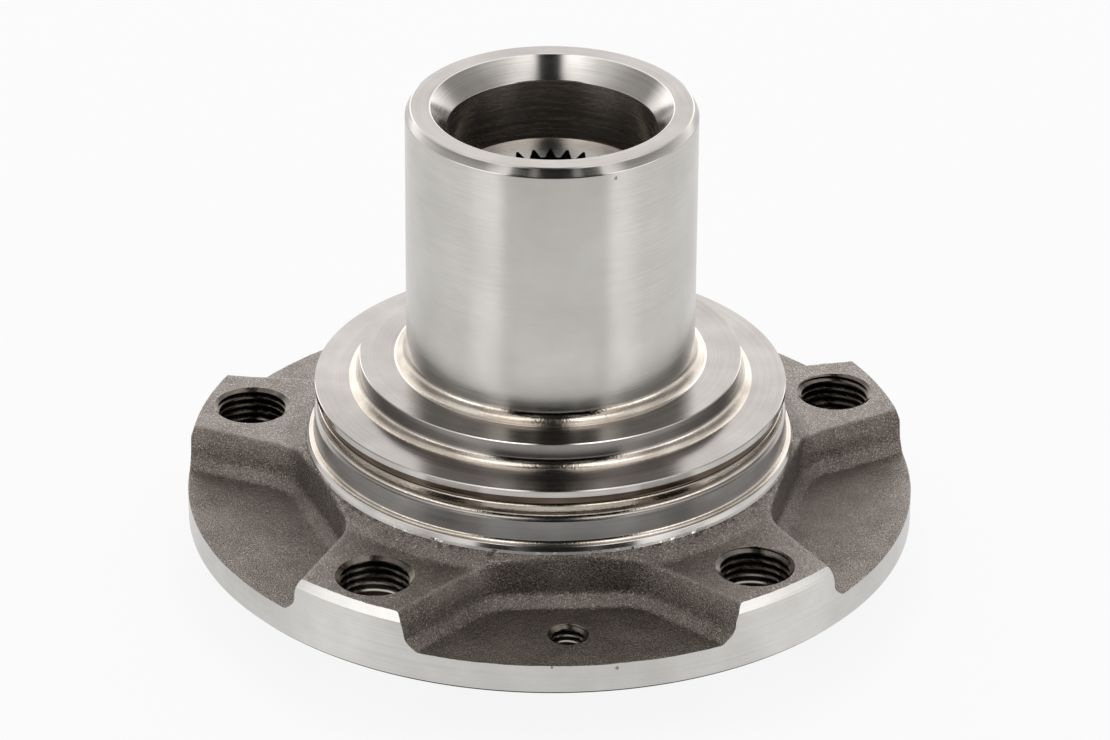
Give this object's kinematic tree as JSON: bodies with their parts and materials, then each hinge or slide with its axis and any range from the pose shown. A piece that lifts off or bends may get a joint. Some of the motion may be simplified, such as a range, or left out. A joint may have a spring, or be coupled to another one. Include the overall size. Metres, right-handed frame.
{
  "type": "wheel hub",
  "caption": "Driven wheel hub: flange with tapped wheel bolt bosses and forged pockets, stepped seal collar, ground bearing journal and splined through bore.",
  "frame": {"origin": "on the hub axis, in the plane of the wheel face that the brake disc bolts to", "axes": "+Z along the hub axis towards the bearing journal's end, -Y through the brake disc screw hole"},
  "size_m": [0.114, 0.114, 0.0788],
  "materials": {
    "forged_steel": "shot-blasted forging skin",
    "faced_steel": "fine turned",
    "turned_steel": "bright turned",
    "ground_steel": "ground",
    "broached_steel": "broached"
  },
  "bodies": {
    "root": {"wheel_flange": "forged_steel", "wheel_pilot": "faced_steel", "seal_collar": "turned_steel", "bearing_journal": "ground_steel", "splined_bore": "broached_steel"}
  },
  "joints": []
}
